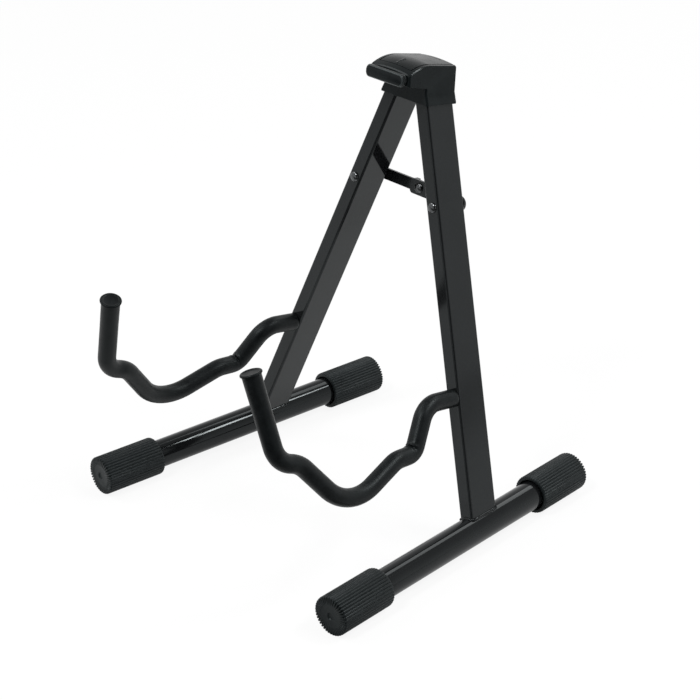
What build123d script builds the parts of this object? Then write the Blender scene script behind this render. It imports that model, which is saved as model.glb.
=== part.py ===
from build123d import *
import os
from math import cos, radians, sqrt, tan

# Folding A-frame guitar stand, standing open on the floor.
# Millimetres. +X is to the right seen from the front, +Y to the back, +Z up.
# The origin is on the floor, in the middle of the stand's footprint.

# Stance of the A-frame
LEAN = 9.5             # the A leans back from upright, degrees
HALF_ANGLE = 19.3      # each leg leans in from the middle of the A, degrees
HALF_SPREAD = 136.5    # leg axis to the middle, at the height of the foot tube's axis
HINGE_HALF = 12.0      # hinge pin to the middle of the head
LEG_Y = 43.68          # leg joint behind the origin

# Leg: rectangular steel tube
LEG_W = 14.0
LEG_D = 31.0
LEG_WALL = 1.2
LEG_CORNER = 2.0
LEG_TOP = 6.5          # tube above the hinge pin

# Foot: round steel tube with a ribbed rubber end on each side
TUBE_D = 25.0
TUBE_WALL = 1.2
TOE_OUT = 4.0          # the feet open towards the front, degrees
FRONT_REACH = 184.0    # leg joint to the front end, rubber included
REAR_REACH = 127.0
FOOT_R = 16.8          # axis above the floor; the lowest ribs are cut flat there
RIB_TIP_R = 17.2
FOOT_LENGTH = 58.0
FOOT_END_WALL = 4.0
RIB_COUNT = 40
RIB_DEPTH = 1.2
FOOT_END_BEVEL = 2.4

# Arm: bent steel bar in a foam sleeve, in the plane of its leg
ARM_HEIGHT = 112.6     # shank along the leg, from the foot tube's axis
ARM_SPLAY = 1.3        # the arm opens outwards, degrees
ARM_ROLL = 2.3         # the arm stands more upright than its leg, degrees
BAR = 7.0              # square bar
BAR_IN_LEG = 22.0
FOAM_SIDES = 8         # the sleeve is faceted
FOAM_R = 8.0           # over the corners
FOAM_TIP_R = 8.2       # the sleeve widens a little to the end of the bar
FOAM_FLARE = 24.0
FOAM_LEG_GAP = 0.2
# corners of the bend as (forward of the leg, above the shank) with the bend's radius
ARM_BENDS = [
    ((33.5, 0.0), 21.0),        # forward, then down
    ((52.3, -37.1), 12.0),      # shoulder
    ((73.7, -38.6), 25.0),
    ((130.6, -67.4), 44.0),     # cradle
    ((179.8, -20.2), 17.5),     # hump
    ((202.8, -14.8), 13.2),
]
ARM_TIP = (221.4, 59.4)
CAP_R = 9.1
CAP_T = 2.4

# Folding brace behind the legs
BRACE_UP = 256.6       # brace pins above the foot tube's axis, measured in the plane of the A
PIN_R = 2.5
RIVET_HEAD_R = 4.5
RIVET_HEAD_H = 2.4
LINK_T = 2.5
RIGHT_LINK_H = 13.0
LEFT_LINK_H = 10.0
LINK_GAP = 0.4         # between the two links, and between the right link and its leg
SPACER_GAP = 0.2       # between the spacer, a link and a rivet head
SPACER_R = 5.5         # over the corners
SPACER_SIDES = 6
RUN_FIT = 0.05         # radial running clearance
STOP_REACH = 10.5      # right link beyond the knee
STOP_CORNER = 3.5
STOP_ROOT = 6.0        # straight stretch of the stop plate past the knee, towards the leg
LIP_NEAR = 4.2         # stop lip, from the knee
LIP_FAR = 8.0
LIP_T = 1.2

# Hinge of each leg
HINGE_R = 3.0
HINGE_HEAD_R = 4.6
HINGE_HEAD_H = 2.2

# Head: moulded plastic, in the frame of the A (heights along the A, from the foot tube's axis)
HEAD_BOTTOM = 337.5
HEAD_WAIST = 347.0     # the skirt flares out along the legs below this
HEAD_BOTTOM_HALF = 27.8
HEAD_WAIST_HALF = 24.5
HEAD_TOP_HALF = 22.2
HEAD_LIP = 1.5
HEAD_WALL = 2.2
HEAD_FACE_WALL = 1.9   # front and back walls beside the legs
LEG_CLEAR = 0.4
HEAD_FRONT = 38.0      # front face ahead of the legs' middle plane
HEAD_STEP_FRONT = 354.0
HEAD_STEP_BACK = 351.5
HEAD_NOSE = 364.9      # top of the front face
NOSE_SLOPE = 28.0      # front slope of the top, degrees
CROWN_TOP = 370.7      # top of the crown over the legs' middle plane
CROWN_R = 155.0        # the top is arched from side to side
CROWN_HALF_TURN = 15.0 # half of the arch, wider than the head, degrees
BROW_R = 42.0          # round between the front slope and the top
CROWN_FALL = 3.9       # the top falls to the back, degrees
HEAD_ROOF = 364.4      # roof of the space that the legs turn in
HEAD_CORNER = 1.4      # bevel of the upright corners
HEAD_RIM = 0.9         # bevel round the top
CORNER_STEEPNESS = 0.6 # edges steeper than this are upright corners
RIM_STEEPNESS = 0.9    # edges less steep than this, above the nose, are the rim of the top
NOSE_WALL = 2.4        # front wall of the hollow nose
NOSE_ROOF = 4.2
NOSE_SPACE_HALF = 20.3
COVER_T = 1.8
COVER_HALF = 18.4
COVER_FRONT = 5.6      # front edge of the cover behind the head's front face
COVER_GROOVE = 0.5
COVER_RIB_W = 1.4
COVER_RIB_H = 0.6
COVER_RIB_FRONT = 31.0 # ends of the rib, ahead of the legs' middle plane
COVER_RIB_BACK = 22.0
COVER_SLOT_W = 15.0    # slot across the back of the cover
COVER_SLOT_L = 1.0
COVER_SLOT_T = 0.2
COVER_SLOT_BACK = 13.0

# Bumper on the front of the head
BUMPER_W = 43.0
BUMPER_H = 10.6
BUMPER_D = 6.8
BUMPER_UP = 358.7
BUMPER_CORNER = 4.6
BUMPER_PLATE = 3.6     # thickness of the front plate
BUMPER_BEVEL = 1.2     # round the front plate
BUMPER_NECK_W = 39.0   # the neck behind the plate
BUMPER_NECK_H = 7.4

# Worked out from the sizes above
HINGE_UP = (HALF_SPREAD - HINGE_HALF) / tan(radians(HALF_ANGLE))
HINGE_ALONG = HINGE_UP / cos(radians(HALF_ANGLE))
BRACE_ALONG = BRACE_UP / cos(radians(HALF_ANGLE))
BRACE_HALF = HALF_SPREAD - BRACE_UP * tan(radians(HALF_ANGLE))
LEG_BACK = LEG_D / 2
HEAD_HALF_D = LEG_BACK + LEG_CLEAR + HEAD_FACE_WALL
RIGHT_LINK_BACK = LEG_BACK + LINK_GAP
LEFT_LINK_BACK = RIGHT_LINK_BACK + LINK_T + LINK_GAP
HEAD_ABOVE = CROWN_TOP + HEAD_CORNER + HEAD_RIM   # over the highest point of the head
FAR = 100.0            # longer than any cut through the head or a leg

# Places of the main groups; the left side is the right side mirrored
A_FRAME = Location((0, LEG_Y, FOOT_R), (-LEAN, 0, 0))
RIGHT_LEG = A_FRAME * Pos(HALF_SPREAD, 0, 0) * Rot(0, -HALF_ANGLE, 0)
RIGHT_FOOT = Pos(HALF_SPREAD, LEG_Y, FOOT_R) * Rot(0, 0, TOE_OUT) * Rot(-90, 0, 0)
RIGHT_ARM = RIGHT_LEG * Pos(0, -LEG_BACK, ARM_HEIGHT) * Rot(0, 0, ARM_SPLAY) * Rot(0, ARM_ROLL, 0)
TO_BACK = Rot(-90, 0, 0)
TO_FRONT = Rot(90, 0, 0)


def cylinder_back(radius, start, end):
    """A round bar along the depth of the A, from start to end behind its middle plane."""
    return Pos(0, start, 0) * TO_BACK * extrude(Circle(radius), end - start)


def leg_tube():
    """Hollow rectangular tube with its pin holes, cut to sit on the foot tube."""
    height = HINGE_ALONG + LEG_TOP
    outer = extrude(RectangleRounded(LEG_W, LEG_D, LEG_CORNER), height)
    tube = outer - extrude(Rectangle(LEG_W - 2 * LEG_WALL, LEG_D - 2 * LEG_WALL), height)
    tube -= Pos(0, 0, HINGE_ALONG) * cylinder_back(HINGE_R + RUN_FIT, -FAR, FAR)
    tube -= Pos(0, 0, BRACE_ALONG) * cylinder_back(PIN_R, -FAR, FAR)
    tube = RIGHT_LEG * tube
    tube -= RIGHT_FOOT * Cylinder(TUBE_D / 2, 4 * LEG_D)
    tube -= arm_bar()
    return tube


def foot_tube():
    """Round tube on the floor, from inside one rubber end to inside the other."""
    front = FRONT_REACH - FOOT_END_WALL
    length = front + REAR_REACH - FOOT_END_WALL
    ring = Circle(TUBE_D / 2) - Circle(TUBE_D / 2 - TUBE_WALL)
    return RIGHT_FOOT * Pos(0, 0, -front) * extrude(ring, length)


def rib_outline(shrink=0.0):
    """Ribbed section of a rubber end, with one rib pointing straight down."""
    points = []
    for rib in range(RIB_COUNT):
        points.append(Rot(0, 0, 360 * rib / RIB_COUNT) * Pos(RIB_TIP_R - shrink))
        points.append(Rot(0, 0, 360 * (rib + 0.5) / RIB_COUNT) * Pos(RIB_TIP_R - RIB_DEPTH - shrink))
    return make_face(Polyline(*[point.position for point in points], close=True))


def rubber_foot():
    """Ribbed rubber end, closed end on Z = 0, mouth at Z = FOOT_LENGTH and the floor towards +Y."""
    bevel = loft([rib_outline(FOOT_END_BEVEL), Pos(0, 0, FOOT_END_BEVEL) * rib_outline()], ruled=True)
    foot = bevel + Pos(0, 0, FOOT_END_BEVEL) * extrude(rib_outline(), FOOT_LENGTH - FOOT_END_BEVEL)
    foot -= Pos(0, 0, FOOT_END_WALL) * extrude(Circle(TUBE_D / 2), FOOT_LENGTH)
    floor = Box(FAR, FAR, FAR, align=(Align.CENTER, Align.MIN, Align.MIN))
    return foot - Pos(0, FOOT_R, 0) * floor


def front_foot():
    """Rubber end on the front of the foot tube."""
    return RIGHT_FOOT * Pos(0, 0, -FRONT_REACH) * rubber_foot()


def rear_foot():
    """Rubber end on the back of the foot tube."""
    return RIGHT_FOOT * Pos(0, 0, REAR_REACH) * Rot(0, 180, 0) * rubber_foot()


def arm_path(start, short_of_tip):
    """Centre line of the arm: straight runs joined by bends, in the arm's own frame."""
    corners = [corner for corner, _ in ARM_BENDS]
    radii = [radius for _, radius in ARM_BENDS]
    last = Vector(0, -corners[-1][0], corners[-1][1])
    tip = Vector(0, -ARM_TIP[0], ARM_TIP[1])
    end = tip - (tip - last).normalized() * short_of_tip
    points = [Vector(0, -start, 0)] + [Vector(0, -forward, up) for forward, up in corners] + [end]
    return FilletPolyline(*points, radius=radii)


def across(edge, where):
    """Plane across an edge, its normal along the edge and its X axis square to the arm's plane."""
    return Plane(edge @ where, x_dir=(1, 0, 0), z_dir=edge % where)


def along(path, section):
    """Carry a section along the path: extruded on straight runs, revolved through bends."""
    solid = Part()
    for edge in path.edges():
        face = across(edge, 0) * section
        start = edge % 0
        end = edge % 1
        if edge.geom_type == GeomType.LINE:
            solid += extrude(face, edge.length)
        else:
            solid += revolve(face, Axis(edge.arc_center, start.cross(end)), start.get_angle(end))
    return solid


def arm_bar():
    """Bent bar from inside the leg to the tip cap."""
    return RIGHT_ARM * along(arm_path(-BAR_IN_LEG, CAP_T), Rectangle(BAR, BAR))


def arm_foam():
    """Foam sleeve from the leg to the tip cap, flared at the tip."""
    path = arm_path(FOAM_LEG_GAP, FOAM_FLARE + CAP_T)
    flat_up = Rot(0, 0, 180 / FOAM_SIDES)
    ring = flat_up * RegularPolygon(FOAM_R, FOAM_SIDES)
    sleeve = along(path, ring)
    tip_ring = flat_up * RegularPolygon(FOAM_TIP_R, FOAM_SIDES)
    flare = loft([ring, Pos(0, 0, FOAM_FLARE) * tip_ring], ruled=True)
    sleeve += across(path.edges()[-1], 1) * flare
    return RIGHT_ARM * sleeve - arm_bar()


def arm_tip_cap():
    """Rubber cap on the end of the bar."""
    path = arm_path(0, CAP_T)
    return RIGHT_ARM * (across(path.edges()[-1], 1) * extrude(Circle(CAP_R), CAP_T))


def brace_pin(link_back):
    """Rivet through the leg from front to back; the link turns on its back end."""
    head_back = link_back + LINK_T + SPACER_GAP
    pin = cylinder_back(PIN_R, -LEG_BACK, head_back)
    pin += cylinder_back(RIVET_HEAD_R, -LEG_BACK - RIVET_HEAD_H, -LEG_BACK)
    pin += cylinder_back(RIVET_HEAD_R, head_back, head_back + RIVET_HEAD_H)
    return RIGHT_LEG * Pos(0, 0, BRACE_ALONG) * pin


def brace_spacer():
    """Six-sided spacer on the left brace pin, drawn for the right side, between the leg and the link."""
    length = LEFT_LINK_BACK - SPACER_GAP - LEG_BACK
    spacer = Pos(0, LEG_BACK, 0) * TO_BACK * extrude(RegularPolygon(SPACER_R, SPACER_SIDES), length)
    spacer -= cylinder_back(PIN_R, -FAR, FAR)
    return RIGHT_LEG * Pos(0, 0, BRACE_ALONG) * spacer


def link_bar(height, back):
    """Flat bar with round ends from the right brace pin to the knee, in the frame of the A."""
    bar = extrude(SlotCenterToCenter(BRACE_HALF, height), LINK_T)
    return Pos(BRACE_HALF / 2, back, BRACE_UP) * TO_BACK * bar


def pin_holes(solid):
    """Bore a link for its brace pin, with running clearance, and for the knee rivet."""
    solid -= Pos(BRACE_HALF, 0, BRACE_UP) * cylinder_back(PIN_R + RUN_FIT, -FAR, FAR)
    solid -= Pos(0, 0, BRACE_UP) * cylinder_back(PIN_R, -FAR, FAR)
    return solid


def right_brace_link():
    """Front link: runs on past the knee as a stop, with a lip over the other link."""
    link = link_bar(RIGHT_LINK_H, RIGHT_LINK_BACK)
    stop = extrude(RectangleRounded(STOP_REACH + STOP_ROOT, RIGHT_LINK_H, STOP_CORNER), LINK_T)
    link += Pos((STOP_ROOT - STOP_REACH) / 2, RIGHT_LINK_BACK, BRACE_UP) * TO_BACK * stop
    lip_w = LIP_FAR - LIP_NEAR
    lip_d = LEFT_LINK_BACK + LINK_T - RIGHT_LINK_BACK
    lip = Box(lip_w, lip_d, LIP_T, align=(Align.MAX, Align.MIN, Align.MAX))
    link += Pos(-LIP_NEAR, RIGHT_LINK_BACK, BRACE_UP + RIGHT_LINK_H / 2) * lip
    return A_FRAME * pin_holes(link)


def left_brace_link():
    """Back link, drawn for the right side: the left one is its mirror image."""
    return A_FRAME * pin_holes(link_bar(LEFT_LINK_H, LEFT_LINK_BACK))


def knee_rivet_front():
    """Half of the knee rivet that stays in the right link, with the front head."""
    half = cylinder_back(PIN_R, RIGHT_LINK_BACK, RIGHT_LINK_BACK + LINK_T)
    half += cylinder_back(RIVET_HEAD_R, RIGHT_LINK_BACK - RIVET_HEAD_H, RIGHT_LINK_BACK)
    return A_FRAME * Pos(0, 0, BRACE_UP) * half


def knee_rivet_rear():
    """Half of the knee rivet that stays in the left link, with the back head."""
    link_end = LEFT_LINK_BACK + LINK_T
    half = cylinder_back(PIN_R, LEFT_LINK_BACK, link_end)
    half += cylinder_back(RIVET_HEAD_R, link_end, link_end + RIVET_HEAD_H)
    return A_FRAME * Pos(0, 0, BRACE_UP) * half


def hinge_pin():
    """Pin through the head that a leg turns on, headed behind and flush in front."""
    pin = cylinder_back(HINGE_R, -HEAD_HALF_D, HEAD_HALF_D)
    pin += cylinder_back(HINGE_HEAD_R, HEAD_HALF_D, HEAD_HALF_D + HINGE_HEAD_H)
    return A_FRAME * Pos(HINGE_HALF, 0, HINGE_UP) * pin


def mirrored_outline(right_side):
    """Closed outline in the plane of the A from the points of its right side, bottom to top."""
    left_side = [(-x, up) for x, up in reversed(right_side)]
    return make_face((Plane.XZ * Polyline(*right_side, *left_side, close=True)).edges())


def steepness(edge):
    """How near an edge runs to upright in the middle of its length: 0 is level, 1 is upright."""
    return abs((edge % 0.5).Z)


def top_line():
    """Line of the head's top over its middle: front slope, rounded brow and the fall to the back."""
    slope = tan(radians(NOSE_SLOPE))
    fall = tan(radians(CROWN_FALL))
    brow_back = (CROWN_TOP - HEAD_NOSE - slope * HEAD_FRONT) / (slope + fall)
    brow = (brow_back, CROWN_TOP - fall * brow_back)
    back = (HEAD_HALF_D, CROWN_TOP - fall * HEAD_HALF_D)
    return FilletPolyline((-HEAD_FRONT, HEAD_NOSE), brow, back, radius=BROW_R)


def crown_space():
    """Everything under the top of the head, which is arched from side to side."""
    axis_up = CROWN_TOP - CROWN_R
    top = top_line()
    rest = Polyline(top @ 1, (HEAD_HALF_D, axis_up), (-HEAD_FRONT, axis_up), top @ 0)
    section = make_face((Plane.YZ * (top + rest)).edges())
    axis = Axis((0, 0, axis_up), (0, 1, 0))
    return revolve(section.rotate(axis, -CROWN_HALF_TURN), axis, 2 * CROWN_HALF_TURN)


def under_top(depth):
    """Everything lower than the sides of the head's top by the depth, under a roof of flat planes."""
    drop = depth + CROWN_R - sqrt(CROWN_R**2 - HEAD_TOP_HALF**2)
    top = top_line()
    points = [edge @ 0 for edge in top.edges()] + [top @ 1]
    roof = [(point.X, point.Y - drop) for point in points]
    section = Polyline(*roof, (HEAD_HALF_D, HEAD_BOTTOM), (-HEAD_FRONT, HEAD_BOTTOM), close=True)
    return extrude(make_face((Plane.YZ * section).edges()), FAR, both=True)


def is_rim(edge):
    """Whether an edge of the head's top is on its outline, not between two faces of the top."""
    middle = edge @ 0.5
    inside = abs(middle.X) < HEAD_CORNER and -HEAD_FRONT + HEAD_RIM < middle.Y < HEAD_HALF_D - HEAD_RIM
    return steepness(edge) < RIM_STEEPNESS and not inside


def head_block():
    """Outer form of the head: side profile, flared walls and an arched top with a bevelled rim."""
    profile = Plane.YZ * Polyline(
        (-HEAD_HALF_D, HEAD_BOTTOM),
        (-HEAD_HALF_D, HEAD_STEP_BACK),
        (-HEAD_FRONT, HEAD_STEP_FRONT),
        (-HEAD_FRONT, HEAD_ABOVE),
        (HEAD_HALF_D, HEAD_ABOVE),
        (HEAD_HALF_D, HEAD_BOTTOM),
        close=True,
    )
    block = extrude(make_face(profile.edges()), FAR, both=True)
    taper = (HEAD_WAIST_HALF - HEAD_TOP_HALF) / (CROWN_TOP - HEAD_WAIST)
    walls = [
        (HEAD_BOTTOM_HALF, HEAD_BOTTOM),
        (HEAD_BOTTOM_HALF, HEAD_BOTTOM + HEAD_LIP),
        (HEAD_WAIST_HALF, HEAD_WAIST),
        (HEAD_TOP_HALF - taper * (HEAD_ABOVE - CROWN_TOP), HEAD_ABOVE),
    ]
    block &= extrude(mirrored_outline(walls), FAR, both=True)
    upright = [edge for edge in block.edges() if steepness(edge) > CORNER_STEEPNESS]
    block = chamfer(upright, HEAD_CORNER)
    block &= crown_space()
    top_edges = block.edges().filter_by_position(Axis.Z, HEAD_STEP_FRONT + HEAD_CORNER, HEAD_ABOVE)
    return chamfer([edge for edge in top_edges if is_rim(edge)], HEAD_RIM)


def cover_space(gap):
    """Column that the cover stands in, wider by the gap at its sides and front."""
    width = 2 * (COVER_HALF + gap)
    front = HEAD_FRONT - COVER_FRONT + gap
    column = Box(width, front + FAR, FAR, align=(Align.CENTER, Align.MIN, Align.MIN))
    return Pos(0, -front, HEAD_BOTTOM) * column


def leg_space():
    """Space in the head that the legs turn in, open underneath."""
    leg_half = LEG_W / 2 / cos(radians(HALF_ANGLE)) + LEG_CLEAR
    below = HEAD_BOTTOM - HEAD_LIP
    sides = [
        (HINGE_HALF + leg_half + (HINGE_UP - up) * tan(radians(HALF_ANGLE)), up)
        for up in (below, HEAD_WAIST)
    ]
    sides.append((HEAD_TOP_HALF - HEAD_WALL, HEAD_ROOF))
    return extrude(mirrored_outline(sides), LEG_BACK + LEG_CLEAR, both=True)


def nose_space():
    """Hollow of the nose, in front of the legs and open underneath."""
    depth = HEAD_FRONT - NOSE_WALL - HEAD_HALF_D
    space = Box(2 * NOSE_SPACE_HALF, depth, FAR, align=(Align.CENTER, Align.MAX, Align.MIN))
    return (Pos(0, -HEAD_HALF_D, HEAD_BOTTOM) * space) & under_top(NOSE_ROOF)


def head_housing(block):
    """Moulded head, hollow underneath, with the seat of its cover and the holes of the hinge pins."""
    housing = block - ((block & cover_space(COVER_GROOVE)) - under_top(COVER_T))
    housing -= leg_space()
    housing -= nose_space()
    for side in (-1, 1):
        housing -= Pos(side * HINGE_HALF, 0, HINGE_UP) * cylinder_back(HINGE_R, -HEAD_HALF_D, HEAD_HALF_D)
    return A_FRAME * housing


def head_top_cover(block):
    """Cover let into the top of the head, with a short rib on its front slope and a slot at the back."""
    cover = block & cover_space(0)
    rib = Box(COVER_RIB_W, COVER_RIB_FRONT - COVER_RIB_BACK, FAR, align=(Align.CENTER, Align.MIN, Align.MIN))
    cover += (Pos(0, -COVER_RIB_FRONT, HEAD_BOTTOM) * rib) & (Pos(0, 0, COVER_RIB_H) * block)
    slot = Box(COVER_SLOT_W, COVER_SLOT_L, FAR, align=(Align.CENTER, Align.CENTER, Align.MIN))
    cover -= (Pos(0, COVER_SLOT_BACK, HEAD_BOTTOM) * slot) - under_top(COVER_SLOT_T)
    return A_FRAME * (cover - under_top(COVER_T))


def bumper_pad():
    """Soft plate on a plain neck, on the front of the head."""
    plate = TO_FRONT * extrude(RectangleRounded(BUMPER_W, BUMPER_H, BUMPER_CORNER), BUMPER_PLATE)
    bar = Box(BUMPER_W, BUMPER_PLATE, BUMPER_H, align=(Align.CENTER, Align.MAX, Align.CENTER))
    plate &= chamfer(bar.faces().sort_by(Axis.Y)[0].edges(), BUMPER_BEVEL)
    neck_d = BUMPER_D - BUMPER_PLATE
    neck = Box(BUMPER_NECK_W, neck_d, BUMPER_NECK_H, align=(Align.CENTER, Align.MAX, Align.CENTER))
    return A_FRAME * Pos(0, -HEAD_FRONT, BUMPER_UP) * (neck + Pos(0, -neck_d, 0) * plate)


HEAD_BLOCK = head_block()
pieces = {
    "head_housing": head_housing(HEAD_BLOCK),
    "head_top_cover": head_top_cover(HEAD_BLOCK),
    "bumper_pad": bumper_pad(),
    "right_brace_link": right_brace_link(),
    "left_brace_link": mirror(left_brace_link(), about=Plane.YZ),
    "knee_rivet_front": knee_rivet_front(),
    "knee_rivet_rear": knee_rivet_rear(),
    "right_brace_pin": brace_pin(RIGHT_LINK_BACK),
    "left_brace_pin": mirror(brace_pin(LEFT_LINK_BACK), about=Plane.YZ),
    "left_brace_spacer": mirror(brace_spacer(), about=Plane.YZ),
}
MADE_IN_PAIRS = {
    "leg_tube": leg_tube,
    "hinge_pin": hinge_pin,
    "foot_tube": foot_tube,
    "front_foot": front_foot,
    "rear_foot": rear_foot,
    "arm_bar": arm_bar,
    "arm_foam": arm_foam,
    "arm_tip_cap": arm_tip_cap,
}
for name, make in MADE_IN_PAIRS.items():
    right = make()
    pieces["right_" + name] = right
    pieces["left_" + name] = mirror(right, about=Plane.YZ)

os.makedirs("parts", exist_ok=True)
for name, piece in pieces.items():
    piece.label = name
    export_step(piece, f"parts/{name}.step")
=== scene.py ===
import logging
from dataclasses import dataclass
from enum import Enum
from math import acos, atan2, ceil, copysign, cos, exp, pi, radians, sin, tan
from typing import Any, Callable, Sequence

import bpy
from mathutils import Matrix, Vector


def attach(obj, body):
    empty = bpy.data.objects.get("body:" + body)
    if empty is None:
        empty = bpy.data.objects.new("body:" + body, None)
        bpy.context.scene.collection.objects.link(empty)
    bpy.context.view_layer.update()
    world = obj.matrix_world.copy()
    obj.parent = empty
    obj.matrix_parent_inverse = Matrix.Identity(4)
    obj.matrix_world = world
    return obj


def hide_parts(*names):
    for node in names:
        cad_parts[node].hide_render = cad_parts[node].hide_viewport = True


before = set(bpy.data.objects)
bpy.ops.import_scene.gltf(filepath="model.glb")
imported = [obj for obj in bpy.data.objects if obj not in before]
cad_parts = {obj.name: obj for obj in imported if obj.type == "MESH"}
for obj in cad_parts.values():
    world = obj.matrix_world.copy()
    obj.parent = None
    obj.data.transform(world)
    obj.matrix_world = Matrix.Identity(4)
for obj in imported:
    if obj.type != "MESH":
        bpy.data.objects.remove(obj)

# Folding A-frame guitar stand in black. Sizes in the classes are millimetres and degrees;
# meshes are in metres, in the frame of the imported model: +X right, +Y back, +Z up.

log = logging.getLogger("guitar_stand")
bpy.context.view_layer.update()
MM = 0.001
MERGE = 0.002          # vertices closer than this are one, in millimetres
FLAT = 0.5             # faces that meet at less than this become one, in degrees
ROUND_FROM = 28.0      # edges sharper than this are rounded
ROUND_STEPS = 3        # faces across a rounding
CRISP = 35.0           # edges sharper than this are shaded crisp
FLAT_WEIGHT = 100      # how much more a large face counts in the shading than a small one
DOME_TURNS = (15, 30, 45, 60, 73, 84)   # rings of a rivet's dome, in degrees up from its rim
RIVET_SIDES = 40

Points = tuple[tuple[float, float], ...]
Triples = tuple[tuple[float, float, float], ...]


class Side(Enum):
    """The two halves of the stand; the left one is the right one mirrored."""

    RIGHT = "right"
    LEFT = "left"


class Grain(Enum):
    """The two kinds of fine relief that the finishes have."""

    PEEL = "peel"      # soft, rounded, as in sprayed enamel, moulded plastic and rubber
    CELLS = "cells"    # open pores, as in the skin of a foam sleeve


def linear(hex_colour: str) -> tuple[float, float, float, float]:
    """Turn an sRGB hex colour into linear RGBA.

    Args:
        hex_colour: Colour as "#rrggbb".

    Returns:
        The colour in linear light, with full alpha.
    """
    parts = [int(hex_colour[place:place + 2], 16) / 255 for place in (1, 3, 5)]
    red, green, blue = [part / 12.92 if part <= 0.04045 else ((part + 0.055) / 1.055) ** 2.4
                        for part in parts]
    return red, green, blue, 1.0


def add_node(tree: bpy.types.NodeTree, kind: str, settings: dict[str, Any] | None = None,
             inputs: dict[Any, Any] | None = None) -> bpy.types.Node:
    """Add a shader node.

    Args:
        tree: Node tree that gets the node.
        kind: Blender's name of the node type.
        settings: Properties of the node and their values.
        inputs: For each input, by name or number, a value or the output that feeds it.

    Returns:
        The new node.
    """
    node = tree.nodes.new(kind)
    for name, value in (settings or {}).items():
        setattr(node, name, value)
    for name, value in (inputs or {}).items():
        if isinstance(value, bpy.types.NodeSocket):
            tree.links.new(value, node.inputs[name])
        else:
            node.inputs[name].default_value = value
    return node


@dataclass(frozen=True)
class Finish:
    """A surface: its colour, gloss and fine relief."""

    name: str
    colour: str
    pale: str              # the lightest tone of its cloudy variation
    cloud_mm: float        # size of the variation
    grain: Grain
    grain_mm: float        # size of the relief's bumps or pores
    relief_mm: float       # depth of the relief
    roughness: tuple[float, float]
    metallic: float = 0.0
    specular: float = 0.5
    tint: str = "#eff9fa"  # tint of the gloss
    tone_span: tuple[float, float] = (0.35, 0.7)    # stretch of the variation for the tones
    shine_span: tuple[float, float] = (0.3, 0.7)    # and for the roughness

    def material(self) -> bpy.types.Material:
        """Make the finish's material, the first time that it is asked for.

        Returns:
            The material, the same one each time.
        """
        made = bpy.data.materials.get(self.name)
        if made:
            return made
        made = bpy.data.materials.new(self.name)
        made.use_nodes = True
        tree = made.node_tree
        tree.nodes.clear()
        place = add_node(tree, "ShaderNodeTexCoord").outputs["Object"]
        cloud = add_node(tree, "ShaderNodeTexNoise", inputs={
            "Vector": place, "Scale": 1 / (self.cloud_mm * MM), "Detail": 4.0, "Roughness": 0.6})
        tone = add_node(tree, "ShaderNodeValToRGB", inputs={"Fac": cloud.outputs["Fac"]})
        stops = zip(tone.color_ramp.elements, self.tone_span, (self.colour, self.pale))
        for stop, position, colour in stops:
            stop.position = position
            stop.color = linear(colour)
        shine = add_node(tree, "ShaderNodeMapRange", inputs={
            "Value": cloud.outputs["Fac"],
            "From Min": self.shine_span[0], "From Max": self.shine_span[1],
            "To Min": self.roughness[0], "To Max": self.roughness[1]})
        bump = add_node(tree, "ShaderNodeBump", inputs={
            "Height": self.relief(tree, place), "Strength": 1.0,
            "Distance": self.relief_mm * MM})
        surface = add_node(tree, "ShaderNodeBsdfPrincipled", inputs={
            "Base Color": tone.outputs["Color"], "Roughness": shine.outputs["Result"],
            "Metallic": self.metallic, "Specular IOR Level": self.specular,
            "Specular Tint": linear(self.tint), "Normal": bump.outputs["Normal"]})
        add_node(tree, "ShaderNodeOutputMaterial", inputs={"Surface": surface.outputs["BSDF"]})
        return made

    def relief(self, tree: bpy.types.NodeTree,
               place: bpy.types.NodeSocket) -> bpy.types.NodeSocket:
        """Add the fine relief.

        Args:
            tree: Node tree of the material.
            place: Output that gives the point on the piece.

        Returns:
            The output that gives the height, from 0 to 1.
        """
        scale = 1 / (self.grain_mm * MM)
        if self.grain is Grain.CELLS:
            cells = add_node(tree, "ShaderNodeTexVoronoi", {"feature": "SMOOTH_F1"},
                             {"Vector": place, "Scale": scale, "Smoothness": 0.4})
            return cells.outputs["Distance"]
        peel = add_node(tree, "ShaderNodeTexNoise", inputs={
            "Vector": place, "Scale": scale, "Detail": 2.0})
        return peel.outputs["Fac"]


# Stoved gloss enamel on the flat legs: smooth enough to mirror the brace and the pale floor.
LEG_ENAMEL = Finish("gloss_black_enamel", "#121314", "#161718", 35.0,
                    Grain.PEEL, 2.5, 0.002, (0.07, 0.1), specular=0.26)
# The same enamel on the round foot tubes: lamps draw bright lines along them.
TUBE_ENAMEL = Finish("smooth_black_enamel", "#101112", "#151617", 40.0,
                     Grain.PEEL, 3.0, 0.002, (0.07, 0.11), specular=0.24)
# Moulded rubber ends: satin, a little dusty grey in patches.
FOOT_RUBBER = Finish("ribbed_black_rubber", "#111516", "#1b1f20", 9.0,
                     Grain.PEEL, 0.5, 0.02, (0.38, 0.5), specular=0.18)
# Foam sleeve with a closed skin: dull black with fine pores.
ARM_FOAM = Finish("closed_cell_black_foam", "#090b0c", "#101314", 7.0,
                  Grain.CELLS, 0.8, 0.03, (0.36, 0.46), specular=0.17)
# Soft rubber caps on the tips of the arms, less glossy than the foam's skin.
CAP_RUBBER = Finish("soft_black_rubber", "#0b0d0e", "#111415", 6.0,
                    Grain.PEEL, 0.6, 0.015, (0.34, 0.46), specular=0.12)
# ABS head with a fine spark-eroded texture from its mould.
HEAD_ABS = Finish("textured_black_abs", "#0e1112", "#141819", 14.0,
                  Grain.PEEL, 0.45, 0.004, (0.17, 0.23), specular=0.13)
# ABS cover, a little duller than the head.
COVER_ABS = Finish("satin_black_abs", "#0e1112", "#141718", 12.0,
                   Grain.PEEL, 0.6, 0.006, (0.22, 0.3), specular=0.14)
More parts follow.
